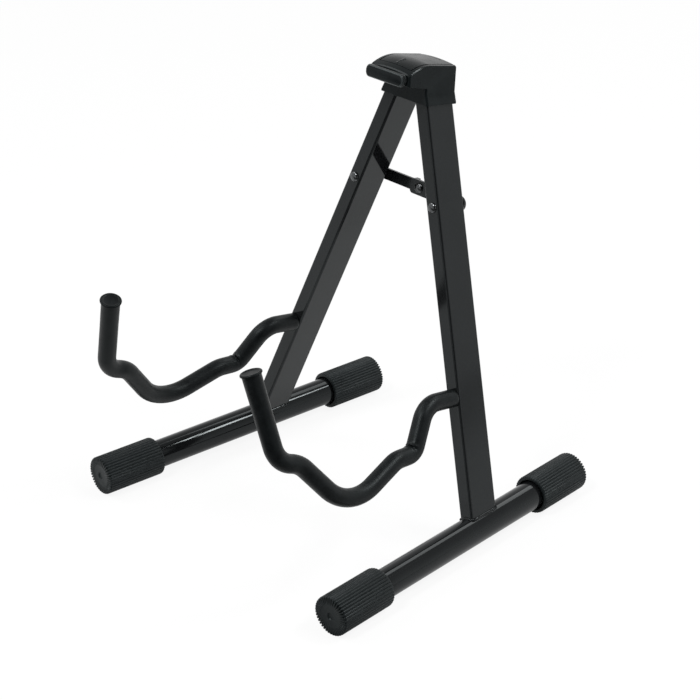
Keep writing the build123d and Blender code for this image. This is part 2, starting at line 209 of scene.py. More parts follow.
# Smooth rubber bumper, polished by the necks that lean on it.
BUMPER_RUBBER = Finish("smooth_black_rubber", "#0e1112", "#131617", 8.0,
                       Grain.PEEL, 0.6, 0.004, (0.16, 0.24), specular=0.13)
# The same rubber painted paler along its front rim: a painted highlight where the rounded rim
# catches the light.
RIM_HIGHLIGHT_RUBBER = Finish("painted_highlight_black_rubber", "#2a2e2f", "#3a3e3f", 5.0,
                     Grain.PEEL, 0.6, 0.006, (0.28, 0.38), specular=0.2)
# Pressed steel links in a thinner, duller coat of the legs' enamel.
LINK_ENAMEL = Finish("thin_black_enamel", "#0e0f10", "#151617", 12.0,
                     Grain.PEEL, 1.0, 0.004, (0.16, 0.26), specular=0.26)
# Blackened steel rivets: a dark mirror, bright only where a lamp or the floor is in the dome.
RIVET_STEEL = Finish("blackened_steel", "#505253", "#5e6061", 3.0,
                     Grain.PEEL, 0.8, 0.002, (0.18, 0.24), metallic=1.0, tint="#ffffff")
# Raw drawn steel of the hidden bars.
BAR_STEEL = Finish("drawn_steel", "#6d6f71", "#86888a", 4.0,
                   Grain.PEEL, 0.4, 0.01, (0.35, 0.5), metallic=1.0)


def deselect() -> None:
    """Leave edit mode and deselect everything."""
    if bpy.context.mode != "OBJECT":
        bpy.ops.object.mode_set(mode="OBJECT")
    bpy.ops.object.select_all(action="DESELECT")


def activate(piece: bpy.types.Object) -> None:
    """Select one piece alone, in object mode.

    Args:
        piece: Piece to select.
    """
    deselect()
    piece.select_set(True)
    bpy.context.view_layer.objects.active = piece


def edit(piece: bpy.types.Object) -> None:
    """Select one piece alone and open its mesh with nothing in it selected.

    Args:
        piece: Piece to open.
    """
    activate(piece)
    bpy.ops.object.mode_set(mode="EDIT")
    bpy.ops.mesh.select_all(action="DESELECT")


def settle() -> None:
    """Move the selected piece's place, turn and scale into its mesh."""
    bpy.ops.object.transform_apply(location=True, rotation=True, scale=True)


def pick(piece: bpy.types.Object, test: Callable[[Vector], bool]) -> None:
    """Select the vertices of a piece in edit mode that pass a test.

    Args:
        piece: Piece that is open in edit mode.
        test: Takes a vertex's place in metres and says whether it is selected.
    """
    bpy.ops.mesh.select_mode(type="VERT")
    bpy.ops.mesh.select_all(action="DESELECT")
    bpy.ops.object.mode_set(mode="OBJECT")
    for vertex in piece.data.vertices:
        vertex.select = test(vertex.co)
    bpy.ops.object.mode_set(mode="EDIT")


def ring(name: str, radius: float, sides: int, tilt: float = 0.0) -> bpy.types.Object:
    """Add an open ring about the origin, selected in edit mode.

    Args:
        name: Name of the new piece.
        radius: Radius in millimetres.
        sides: Number of its vertices.
        tilt: Turn about X in degrees; at 0 the ring lies flat.

    Returns:
        The new piece.
    """
    deselect()
    bpy.ops.mesh.primitive_circle_add(vertices=sides, radius=radius * MM,
                                      rotation=(radians(tilt), 0, 0))
    piece = bpy.context.object
    piece.name = name
    piece.data.name = name
    settle()
    bpy.ops.object.mode_set(mode="EDIT")
    bpy.ops.mesh.select_all(action="SELECT")
    return piece


def finish_mesh(piece: bpy.types.Object, smooth: float = CRISP) -> bpy.types.Object:
    """Merge doubles, turn faces outwards and smooth all but the sharp edges.

    Args:
        piece: Piece with a closed mesh.
        smooth: Edges sharper than this stay crisp, in degrees.

    Returns:
        The same piece, in object mode.
    """
    edit(piece)
    bpy.ops.mesh.select_all(action="SELECT")
    bpy.ops.mesh.remove_doubles(threshold=MERGE * MM)
    bpy.ops.mesh.normals_make_consistent(inside=False)
    bpy.ops.object.mode_set(mode="OBJECT")
    bpy.ops.object.shade_smooth_by_angle(angle=radians(smooth))
    return piece


def turned(name: str, profile: Sequence[tuple[float, float]], sides: int,
           hollow: bool = False) -> bpy.types.Object:
    """Raise a round piece along Z, ring by ring.

    Args:
        name: Name of the new piece.
        profile: (height, radius) of each ring in millimetres.
        sides: Number of vertices in a ring.
        hollow: Whether the profile runs back to its start, as in a tube; if not, both ends
            are filled.

    Returns:
        The new piece, in object mode.
    """
    loop = [*profile, profile[0]] if hollow else list(profile)
    start, radius = loop[0]
    piece = ring(name, radius, sides)
    bpy.ops.transform.translate(value=(0, 0, start * MM))
    if not hollow:
        bpy.ops.mesh.edge_face_add()
        bpy.ops.mesh.select_mode(type="EDGE")
    for (low, old), (high, new) in zip(loop, loop[1:]):
        rise = (0, 0, (high - low) * MM)
        bpy.ops.mesh.extrude_edges_move(TRANSFORM_OT_translate={"value": rise})
        grow = new / old
        bpy.ops.transform.resize(value=(grow, grow, 1), center_override=(0, 0, high * MM))
    if not hollow:
        bpy.ops.mesh.edge_face_add()
    return finish_mesh(piece)


def dome(pin: float, head: float, height: float, collar: float,
         inset: float) -> list[tuple[float, float]]:
    """Work out the profile of a rivet's domed head, from its seat up.

    Args:
        pin: Radius of the rivet's pin.
        head: Radius of the head.
        height: Height of the head.
        collar: Height of the collar under the dome.
        inset: How much narrower the collar is at its foot.

    Returns:
        (height, radius) of each ring in millimetres.
    """
    turns = [radians(turn) for turn in DOME_TURNS]
    return [(0.0, pin), (0.0, head - inset), (collar, head)] + [
        (collar + (height - collar) * sin(turn), head * cos(turn)) for turn in turns]


def twin(piece: bpy.types.Object, name: str) -> bpy.types.Object:
    """Copy a piece with a mesh of its own.

    Args:
        piece: Piece to copy.
        name: Name of the copy.

    Returns:
        The copy.
    """
    copy = bpy.data.objects.new(name, piece.data.copy())
    copy.data.name = name
    bpy.context.collection.objects.link(copy)
    return copy


def replica(name: str, node: str, round_mm: float = 0.0,
            gather_mm: float = MERGE) -> bpy.types.Object:
    """Copy a CAD node's mesh, join its triangles and round its sharp edges.

    Args:
        name: Name of the new piece.
        node: CAD node that it copies.
        round_mm: Width of the rounding in millimetres, or 0 for none.
        gather_mm: Shorter edges are drawn together first, because they hold the rounding back.

    Returns:
        The new piece, in object mode.
    """
    piece = twin(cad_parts[node], name)
    edit(piece)
    bpy.ops.mesh.customdata_custom_splitnormals_clear()
    bpy.ops.mesh.select_all(action="SELECT")
    bpy.ops.mesh.remove_doubles(threshold=MERGE * MM)
    bpy.ops.mesh.dissolve_limited(angle_limit=radians(FLAT))
    bpy.ops.mesh.select_all(action="SELECT")
    bpy.ops.mesh.dissolve_degenerate(threshold=gather_mm * MM)
    bpy.ops.object.mode_set(mode="OBJECT")
    if round_mm:
        rounding = piece.modifiers.new("rounding", "BEVEL")
        rounding.width = round_mm * MM
        rounding.segments = ROUND_STEPS
        rounding.limit_method = "ANGLE"
        rounding.angle_limit = radians(ROUND_FROM)
        rounding.miter_outer = "MITER_ARC"
        bpy.ops.object.modifier_apply(modifier="rounding")
    keep_flats(piece)
    return piece


def keep_flats(piece: bpy.types.Object) -> None:
    """Shade a piece smooth, with its flat faces flat and only its roundings turning the light.

    Args:
        piece: Piece with its final mesh.
    """
    edit(piece)
    bpy.ops.mesh.customdata_custom_splitnormals_clear()
    bpy.ops.object.mode_set(mode="OBJECT")
    bpy.ops.object.shade_smooth_by_angle(angle=radians(CRISP))
    flats = piece.modifiers.new("flats", "WEIGHTED_NORMAL")
    flats.mode = "FACE_AREA"
    flats.weight = FLAT_WEIGHT
    flats.keep_sharp = True
    bpy.ops.object.modifier_apply(modifier="flats")


def set_down(piece: bpy.types.Object, place: Matrix, side: Side) -> bpy.types.Object:
    """Put a piece's mesh in its place, mirrored for the left side.

    Args:
        piece: Piece modelled about the origin.
        place: Its place on the right side.
        side: Side that it belongs to.

    Returns:
        The same piece, with the place in its mesh.
    """
    activate(piece)
    piece.matrix_world = place
    settle()
    if side is Side.LEFT:
        piece.scale.x = -1
        settle()
        edit(piece)
        bpy.ops.mesh.select_all(action="SELECT")
        bpy.ops.mesh.normals_make_consistent(inside=False)
        bpy.ops.object.mode_set(mode="OBJECT")
    return piece


def dress(piece: bpy.types.Object, finish: Finish, body: str, slot: str, *nodes: str) -> None:
    """Give a piece its finish, its body and the CAD nodes that it stands for.

    Args:
        piece: Finished piece.
        finish: Its surface.
        body: Body that it moves with.
        slot: Material slot of the record; not used.
        nodes: CAD nodes that it replaces.
    """
    piece.data.materials.clear()
    piece.data.materials.append(finish.material())
    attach(piece, body)
    if nodes:
        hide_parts(*nodes)
    log.info("%s rides on %s in %s", piece.name, body, finish.name)


def shift(x: float, y: float, z: float) -> Matrix:
    """Return a move by millimetres."""
    return Matrix.Translation(Vector((x, y, z)) * MM)


def spin(angle: float, axis: str) -> Matrix:
    """Return a turn by degrees about an axis."""
    return Matrix.Rotation(radians(angle), 4, axis)


@dataclass(frozen=True)
class Stance:
    """Where the A-frame, its legs, feet and arms stand."""

    lean: float = 9.5
    half_angle: float = 19.3
    half_spread: float = 136.5
    hinge_half: float = 12.0
    leg_y: float = 43.68
    axis_up: float = 16.8        # foot tube's axis above the floor
    toe_out: float = 4.0
    leg_depth: float = 31.0
    arm_height: float = 112.6
    arm_splay: float = 1.3
    arm_roll: float = 2.3
    brace_up: float = 256.6

    def a_frame(self) -> Matrix:
        """Frame of the A: X across, Y back and Z up its lean, from the foot tubes' axis."""
        return shift(0, self.leg_y, self.axis_up) @ spin(-self.lean, "X")

    def leg(self) -> Matrix:
        """Frame of the right leg, Z along it from the foot tube's axis."""
        return self.a_frame() @ shift(self.half_spread, 0, 0) @ spin(-self.half_angle, "Y")

    def foot(self) -> Matrix:
        """Frame of the right foot tube, Z along it to the back and Y towards the floor."""
        corner = shift(self.half_spread, self.leg_y, self.axis_up)
        return corner @ spin(self.toe_out, "Z") @ TO_BACK

    def arm(self) -> Matrix:
        """Frame of the right arm, -Y forward from the leg's front face."""
        shank = shift(0, -self.leg_depth / 2, self.arm_height)
        return self.leg() @ shank @ spin(self.arm_splay, "Z") @ spin(self.arm_roll, "Y")

    def brace_along(self) -> float:
        """Height of the brace pin along the leg."""
        return self.brace_up / cos(radians(self.half_angle))

    def hinge_up(self) -> float:
        """Height of the hinge pins along the A."""
        return (self.half_spread - self.hinge_half) / tan(radians(self.half_angle))


TO_BACK = spin(-90, "X")
STANCE = Stance()


@dataclass
class Leg:
    """Rectangular steel leg with the weld that joins it to the foot tube."""

    side: Side
    width: float = 14.0
    depth: float = 31.0
    squareness: float = 8.0       # power of the rounded outline that the weld follows
    tube_radius: float = 12.5
    bead: float = 1.5             # radius of the weld's bead
    bead_points: int = 96
    bead_sides: int = 10
    ripples: int = 34
    ripple: float = 0.16          # share by which the bead swells and shrinks
    search_to: float = 40.0       # the tube's top is looked for up to here along the leg
    halvings: int = 30
    crisp: float = 60.0           # edges of the bead sharper than this are shaded crisp

    def build(self) -> None:
        """Make the tube and its weld."""
        word = self.side.value
        tube = replica(f"{word}_leg", f"{word}_leg_tube")
        dress(tube, LEG_ENAMEL, f"{word}_leg", "leg_enamel", f"{word}_leg_tube")
        dress(self.weld(f"{word}_weld"), TUBE_ENAMEL, f"{word}_leg", "tube_enamel")

    def outline(self, part: float) -> tuple[float, float]:
        """Point of the leg's section outline.

        Args:
            part: Place round the outline, from 0 to 1.

        Returns:
            (across, back) in millimetres.
        """
        angle = 2 * pi * part
        power = 2 / self.squareness
        across, back = abs(cos(angle)) ** power, abs(sin(angle)) ** power
        return (copysign(across * self.width / 2, cos(angle)),
                copysign(back * self.depth / 2, sin(angle)))

    def weld(self, name: str) -> bpy.types.Object:
        """Bead of weld metal round the foot of the leg, lying on the foot tube.

        Args:
            name: Name of the new piece.

        Returns:
            The bead, enamelled over with the tube.
        """
        curve = bpy.data.curves.new(name, "CURVE")
        curve.dimensions = "3D"
        curve.bevel_depth = self.bead * MM
        curve.bevel_resolution = self.bead_sides // 2 - 2
        spline = curve.splines.new("POLY")
        spline.points.add(self.bead_points - 1)
        spline.use_cyclic_u = True
        for index, point in enumerate(spline.points):
            part = index / self.bead_points
            point.co = (*self.on_tube(*self.outline(part)), 1.0)
            point.radius = 1 + self.ripple * sin(2 * pi * self.ripples * part)
        bead = bpy.data.objects.new(name, curve)
        bpy.context.collection.objects.link(bead)
        activate(bead)
        bpy.ops.object.convert(target="MESH")
        bead = bpy.context.object
        finish_mesh(bead, self.crisp)
        return set_down(bead, Matrix(), self.side)

    def on_tube(self, across: float, back: float) -> Vector:
        """Find where a line along the leg comes out of the foot tube.

        Args:
            across: Place of the line across the leg, in millimetres.
            back: Its place from front to back.

        Returns:
            The point on the right side, in metres.
        """
        leg = STANCE.leg()
        to_foot = STANCE.foot().inverted()
        low, high = 0.0, self.search_to
        for _ in range(self.halvings):
            middle = (low + high) / 2
            spot = to_foot @ leg @ (Vector((across, back, middle)) * MM)
            if spot.xy.length < self.tube_radius * MM:
                low = middle
            else:
                high = middle
        return leg @ (Vector((across, back, low)) * MM)


@dataclass
class Foot:
    """Round tube on the floor with a ribbed rubber end on each side."""

    side: Side
    tube_radius: float = 12.5
    tube_sides: int = 72
    wall: float = 1.2
    front_reach: float = 184.0
    rear_reach: float = 127.0
    end_wall: float = 4.0
    tip_radius: float = 17.2
    length: float = 58.0
    ribs: int = 40
    per_rib: int = 4              # lines of vertices in a rib, counted from its crest
    groove: int = 2               # the line between two ribs
    rib_depth: float = 0.75
    crest_drop: float = 0.16      # the crests are broad, only slightly round
    end_round: float = 1.5
    round_steps: int = 6
    bore_middle: float = 2.0      # flat in the middle of the bore's end
    # the mouth, inside: (below its edge, outside the bore)
    mouth_in: Points = ((2.5, 0.0), (0.2, 1.5), (0.0, 2.0))
    # the mouth, outside: (below its edge, inside the ribs' crests)
    mouth_out: Points = ((0.0, 1.4), (0.5, 0.4), (1.4, 0.0))
    # the end face from its edge to its middle: (height, radius)
    end_face: Points = ((0.0, 14.0), (0.0, 12.3), (0.0, 10.6), (0.3, 10.0), (0.1, 5.0),
                        (0.25, 3.4), (1.2, 2.6), (1.2, 0.6))
    rib_from: float = 14.4        # the ribs are outside this radius
    skin_from: float = 15.0       # and, past the end wall, outside this one, clear of the bore
    skin_height: float = 3.9
    mouth_plain: float = 0.4      # the edge of the mouth has no ribs
    notch: float = 1.2            # depth of the ribs' grooves on the end face
    notch_height: float = 1.6     # the end face's vertices are below this
    # rings of the end face that the grooves cross: (inside, outside, share of the depth)
    notch_rings: Triples = ((14.4, 16.6, 1.0), (13.0, 14.4, 0.9), (11.5, 13.0, 0.65),
                            (10.3, 11.5, 0.35))
    crisp: float = 60.0           # edges of the rubber sharper than this are shaded crisp

    def build(self) -> None:
        """Make the tube and both rubber ends."""
        word = self.side.value
        tube = set_down(self.tube(f"{word}_rail"), STANCE.foot(), self.side)
        dress(tube, TUBE_ENAMEL, f"{word}_leg", "tube_enamel", f"{word}_foot_tube")
        front = self.rubber(f"{word}_front_rubber")
        rear = twin(front, f"{word}_rear_rubber")
        set_down(front, STANCE.foot() @ shift(0, 0, -self.front_reach), self.side)
        set_down(rear, STANCE.foot() @ shift(0, 0, self.rear_reach) @ spin(180, "Y"), self.side)
        dress(front, FOOT_RUBBER, f"{word}_leg", "foot_rubber", f"{word}_front_foot")
        dress(rear, FOOT_RUBBER, f"{word}_leg", "foot_rubber", f"{word}_rear_foot")

    def tube(self, name: str) -> bpy.types.Object:
        """Steel tube from inside one rubber end to inside the other, along Z.

        Args:
            name: Name of the new piece.

        Returns:
            The tube in the foot's frame.
        """
        start = -self.front_reach + self.end_wall
        end = self.rear_reach - self.end_wall
        bore = self.tube_radius - self.wall
        profile = [(start, bore), (start, self.tube_radius), (end, self.tube_radius), (end, bore)]
        return turned(name, profile, self.tube_sides, hollow=True)

    def rubber(self, name: str) -> bpy.types.Object:
        """Rubber end with its closed end on Z = 0 and its mouth up the Z axis.

        Args:
            name: Name of the new piece.

        Returns:
            The ribbed end, flat where it stands on the floor.
        """
        bore, tip, edge = self.tube_radius, self.tip_radius, self.end_round
        profile = [(self.end_wall, self.bore_middle), (self.end_wall, bore)]
        profile += [(self.length - below, bore + beyond) for below, beyond in self.mouth_in]
        profile += [(self.length - below, tip - within) for below, within in self.mouth_out]
        turns = [radians(90 * step / self.round_steps) for step in range(self.round_steps + 1)]
        profile += [(edge * (1 - sin(turn)), tip - edge * (1 - cos(turn))) for turn in turns]
        profile += self.end_face
        piece = turned(name, profile, self.ribs * self.per_rib)
        edit(piece)
        self.rib(piece, self.groove, self.rib_depth)
        self.rib(piece, self.groove - 1, self.crest_drop)
        self.rib(piece, self.groove + 1, self.crest_drop)
        self.notch_face(piece)
        bpy.ops.mesh.select_all(action="SELECT")
        bpy.ops.mesh.bisect(plane_co=(0, STANCE.axis_up * MM, 0), plane_no=(0, 1, 0),
                            clear_outer=True, use_fill=True)
        return finish_mesh(piece, self.crisp)

    def rib(self, piece: bpy.types.Object, part: int, depth: float) -> None:
        """Draw one line of vertices of every rib in towards the axis.

        Args:
            piece: Rubber end in edit mode.
            part: Line of the rib, counted from its crest.
            depth: How far the line lies below the crest, in millimetres.
        """
        def on_line(spot: Vector) -> bool:
            """Say whether a vertex is on this line, on the outside of the rubber.

            Args:
                spot: The vertex's place in metres.

            Returns:
                True if it is.
            """
            if spot.xy.length < self.rib_from * MM:
                return False
            if spot.z > (self.length - self.mouth_plain) * MM:
                return False
            if spot.z > self.skin_height * MM and spot.xy.length < self.skin_from * MM:
                return False
            return self.line_of(spot) == part

        pick(piece, on_line)
        shrink = 1 - depth / self.tip_radius
        bpy.ops.transform.resize(value=(shrink, shrink, 1), center_override=(0, 0, 0))

    def line_of(self, spot: Vector) -> int:
        """Line of its rib that a vertex is on, counted from the crest."""
        step = 2 * pi / (self.ribs * self.per_rib)
        return round((atan2(spot.y, spot.x) - pi / 2) / step) % self.per_rib

    def notch_face(self, piece: bpy.types.Object) -> None:
        """Let the grooves of the ribs run out on the end face.

        Args:
            piece: Rubber end in edit mode.
        """
        for inner, outer, share in self.notch_rings:
            pick(piece, lambda spot: inner * MM < spot.xy.length < outer * MM
                 and spot.z < self.notch_height * MM and self.line_of(spot) == self.groove)
            bpy.ops.transform.translate(value=(0, 0, self.notch * share * MM))


@dataclass
class Arm:
    """Foam-covered arm that cradles the body of the guitar, with its tip cap."""

    side: Side
    radius: float = 7.7
    tip_radius: float = 7.9
    flare: float = 24.0           # the sleeve widens to its tip along this
    flare_rings: int = 14
    leg_gap: float = 0.2
    cap_radius: float = 9.1
    cap_depth: float = 2.4
    cap_sides: int = 48
    sides: int = 40
    spacing: float = 1.5          # distance between its rings
    bend_rings: int = 6           # the fewest in a bend
    tight: float = 16.0           # bends tighter than this fold the foam
    pinch: float = 1.5            # depth of the fold inside a tight bend
    pinch_width: float = 1.9
    pinch_from: float = 0.1       # share of the sleeve's radius, on the inside of the bend
    bulge: float = 0.7            # the foam swells on both sides of the fold
    bulge_at: float = 4.0
    crisp: float = 50.0           # edges of the foam sharper than this are shaded crisp
    # the rounded start at the leg: (along the sleeve, growth of its radius)
    start: Points = ((0.15, 0.7), (0.45, 0.5), (0.9, 0.2))
    # corners of the bends: (forward of the leg, above the shank, radius)
    bends: Triples = ((33.5, 0.0, 21.0), (52.3, -37.1, 12.0), (73.7, -38.6, 25.0),
                      (130.6, -67.4, 44.0), (179.8, -20.2, 28.0), (202.8, -14.8, 22.0))
    tip: tuple[float, float] = (221.4, 59.4)
    # the cap up its rim and into its dished top: (height, inside the rim)
    cap_rim: Points = ((0.0, 2.0), (0.1, 1.2), (0.25, 0.5), (0.6, 0.1), (1.1, 0.0), (1.7, 0.15),
                       (2.15, 0.6), (2.38, 1.2), (2.3, 1.8), (1.9, 2.4), (1.6, 3.4), (1.5, 5.5))
    cap_middle: tuple[float, float] = (1.5, 0.6)

    def build(self) -> None:
        """Make the sleeve and the cap."""
        word = self.side.value
        sleeve = set_down(self.sleeve(f"{word}_foam_sleeve"), STANCE.arm(), self.side)
        dress(sleeve, ARM_FOAM, f"{word}_leg", "arm_foam", f"{word}_arm_foam")
        cap = set_down(self.cap(f"{word}_end_cap"), STANCE.arm() @ self.tip_frame(), self.side)
        dress(cap, CAP_RUBBER, f"{word}_leg", "cap_rubber", f"{word}_arm_tip_cap")
        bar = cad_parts[f"{word}_arm_bar"]
        bar.data.materials.clear()
        bar.data.materials.append(BAR_STEEL.material())

    def points(self) -> list[Vector]:
        """Corners of the arm's line from the leg to the tip.

        Returns:
            Each corner in the arm's frame, in metres.
        """
        corners = [(forward, up) for forward, up, _ in self.bends]
        line = [(self.leg_gap, 0.0), *corners, self.tip]
        return [Vector((0, -forward, up)) * MM for forward, up in line]

    def tip_frame(self) -> Matrix:
        """Frame at the end of the foam, Z along the arm's last run.

        Returns:
            The frame's place in the arm's frame.
        """
        last, tip = self.points()[-2:]
        run = (tip - last).normalized()
        turn = Vector((0, 0, 1)).rotation_difference(run).to_matrix().to_4x4()
        return Matrix.Translation(tip - run * self.cap_depth * MM) @ turn

    def sleeve(self, name: str) -> bpy.types.Object:
        """Foam sleeve, drawn along its straight runs and spun through its bends.

        Args:
            name: Name of the new piece.

        Returns:
            The sleeve in the arm's frame.
        """
        line = self.points()
        piece = ring(name, self.radius - sum(grow for _, grow in self.start), self.sides, tilt=90)
        bpy.ops.transform.translate(value=line[0])
        bpy.ops.mesh.edge_face_add()
        bpy.ops.mesh.select_mode(type="EDGE")
        here = line[0].copy()
        heading = (line[1] - line[0]).normalized()
        for along, grow in self.start:
            here = self.draw(here, heading * along * MM, 1, grow)
        spun: list[tuple[Vector, Vector, float]] = []
        for corner, after, (_, _, radius) in zip(line[1:-1], line[2:], self.bends):
            leaving = (after - corner).normalized()
            turn = acos(max(-1.0, min(1.0, heading.dot(leaving))))
            way = 1 if heading.y * leaving.z - heading.z * leaving.y > 0 else -1
            start = corner - heading * radius * MM * tan(turn / 2)
            here = self.draw(here, start - here)
            centre = start + Vector((0, -heading.z, heading.y)) * way * radius * MM
            steps = max(self.bend_rings, ceil(radius * turn / self.spacing))
            bpy.ops.mesh.spin(steps=steps, angle=-way * turn, center=centre, axis=(1, 0, 0))
            spun.append((centre, corner - centre, radius))
            here = corner + leaving * radius * MM * tan(turn / 2)
            heading = leaving
        end = line[-1] - heading * self.cap_depth * MM
        here = self.draw(here, end - heading * self.flare * MM - here)
        grow = (self.tip_radius - self.radius) / self.flare_rings
        for _ in range(self.flare_rings):
            here = self.draw(here, heading * self.flare / self.flare_rings * MM, 1, grow)
        bpy.ops.mesh.edge_face_add()
        bpy.ops.object.mode_set(mode="OBJECT")
        self.crease_bends(piece, spun)
        return finish_mesh(piece, self.crisp)

    def draw(self, here: Vector, move: Vector, steps: int = 0, grow: float = 0.0) -> Vector:
        """Extrude the selected ring along a straight run.

        Args:
            here: Centre of the ring, in metres.
            move: The run, in metres.
            steps: Number of rings, or 0 to space them evenly.
            grow: How much the radius grows with each ring, in millimetres.

        Returns:
            The ring's new centre.
        """
        count = steps or max(1, ceil(move.length / MM / self.spacing))
        for _ in range(count):
            bpy.ops.mesh.extrude_edges_move(TRANSFORM_OT_translate={"value": move / count})
            here = here + move / count
            if grow:
                size = self.ring_radius(here)
                scale = (size + grow * MM) / size
                bpy.ops.transform.resize(value=(scale, scale, scale), center_override=here)
        return here

    def ring_radius(self, centre: Vector) -> float:
        """Measure the ring that is selected.

        Args:
            centre: Its centre, in metres.

        Returns:
            Its radius, in metres.
        """
        piece = bpy.context.object
        piece.update_from_editmode()
        chosen = next(vertex for vertex in piece.data.vertices if vertex.select)
        return (chosen.co - centre).length

    def crease_bends(self, piece: bpy.types.Object,
                     spun: Sequence[tuple[Vector, Vector, float]]) -> None:
        """Fold the foam where a tight bend squeezes it.

        Args:
            piece: Sleeve in object mode.
            spun: Centre of each bend, the way to its corner and its radius.
        """
        for vertex in piece.data.vertices:
            for centre, middle, radius in spun:
                away = Vector((0, vertex.co.y - centre.y, vertex.co.z - centre.z))
                inside = (radius * MM - away.length) / (self.radius * MM)
                if radius > self.tight or inside < self.pinch_from or away.dot(middle) < 0:
                    continue
                along = away.angle(middle) * radius
                fold = self.pinch * exp(-(along / self.pinch_width) ** 2)
                swell = self.bulge * exp(-((along - self.bulge_at) / self.pinch_width) ** 2)
                vertex.co += away.normalized() * (fold - swell) * min(1.0, inside) * MM

    def cap(self, name: str) -> bpy.types.Object:
        """Round rubber cap with a soft overhanging rim and a dished top, on Z = 0."""
        profile = [(height, self.cap_radius - within) for height, within in self.cap_rim]
        return turned(name, [*profile, self.cap_middle], self.cap_sides)


@dataclass
class Brace:
    """Folding brace behind the legs: two links, their rivets and the left leg's spacer."""

    pin_radius: float = 2.5
    head_radius: float = 4.5
    head_height: float = 2.4
    collar: float = 0.25
    collar_inset: float = 0.15
    link_depth: float = 2.5
    leg_back: float = 15.5
    right_back: float = 15.9
    left_back: float = 18.8
    head_gap: float = 0.2
    left_round: float = 0.45      # rounding of the left link
    right_round: float = 0.0      # the stop lip of the right link leaves no room for one
    spacer_round: float = 0.3

    def build(self) -> None:
        """Make the links, rivets and spacer."""
        self.link(Side.RIGHT, self.right_back, self.right_round)
        self.link(Side.LEFT, self.left_back, self.left_round)
        spacer = replica("left_washer", "left_brace_spacer", self.spacer_round)
        dress(spacer, LINK_ENAMEL, "left_leg", "rivet_steel", "left_brace_spacer")
        self.knee()

    def link(self, side: Side, back: float, rounding: float) -> None:
        """Make a link and the rivet that holds it to its leg.

        Args:
            side: Side of the leg that it hangs on.
            back: Front face of the link behind the leg's middle plane.
            rounding: Rounding of its edges.
        """
        word = side.value
        link = replica(f"{word}_link_bar", f"{word}_brace_link", rounding)
        dress(link, LINK_ENAMEL, f"{word}_link", "link_steel", f"{word}_brace_link")
        rear = back + self.link_depth + self.head_gap
        rivet = self.rivet(f"{word}_leg_rivet", -self.leg_back, rear, both=True)
        set_down(rivet, STANCE.leg() @ shift(0, 0, STANCE.brace_along()) @ TO_BACK, side)
        dress(rivet, RIVET_STEEL, f"{word}_leg", "rivet_steel", f"{word}_brace_pin")

    def knee(self) -> None:
        """Make the two halves of the knee's rivet, one in each link."""
        knee = STANCE.a_frame() @ shift(0, 0, STANCE.brace_up)
        end = self.right_back + self.link_depth
        front = self.rivet("knee_front_head", self.right_back, end, both=False)
        about = shift(0, self.right_back + end, 0) @ spin(180, "X")
        set_down(front, knee @ about @ TO_BACK, Side.RIGHT)
        dress(front, RIVET_STEEL, "right_link", "rivet_steel", "knee_rivet_front")
        end = self.left_back + self.link_depth
        rear = self.rivet("knee_rear_head", self.left_back, end, both=False)
        set_down(rear, knee @ TO_BACK, Side.RIGHT)
        dress(rear, RIVET_STEEL, "left_link", "rivet_steel", "knee_rivet_rear")

    def rivet(self, name: str, start: float, end: float, both: bool) -> bpy.types.Object:
        """Rivet along Z with a dome on its far end, and on its near end if both is set.

        Args:
            name: Name of the new piece.
            start: Where the grip starts.
            end: Where the far head starts.
            both: Whether the near end has a dome too.

        Returns:
            The rivet.
        """
        head = dome(self.pin_radius, self.head_radius, self.head_height, self.collar,
                    self.collar_inset)
        near = [(start, self.pin_radius)]
        if both:
            near = [(start - up, radius) for up, radius in reversed(head)]
        far = [(end + up, radius) for up, radius in head]
        return turned(name, near + far, RIVET_SIDES)


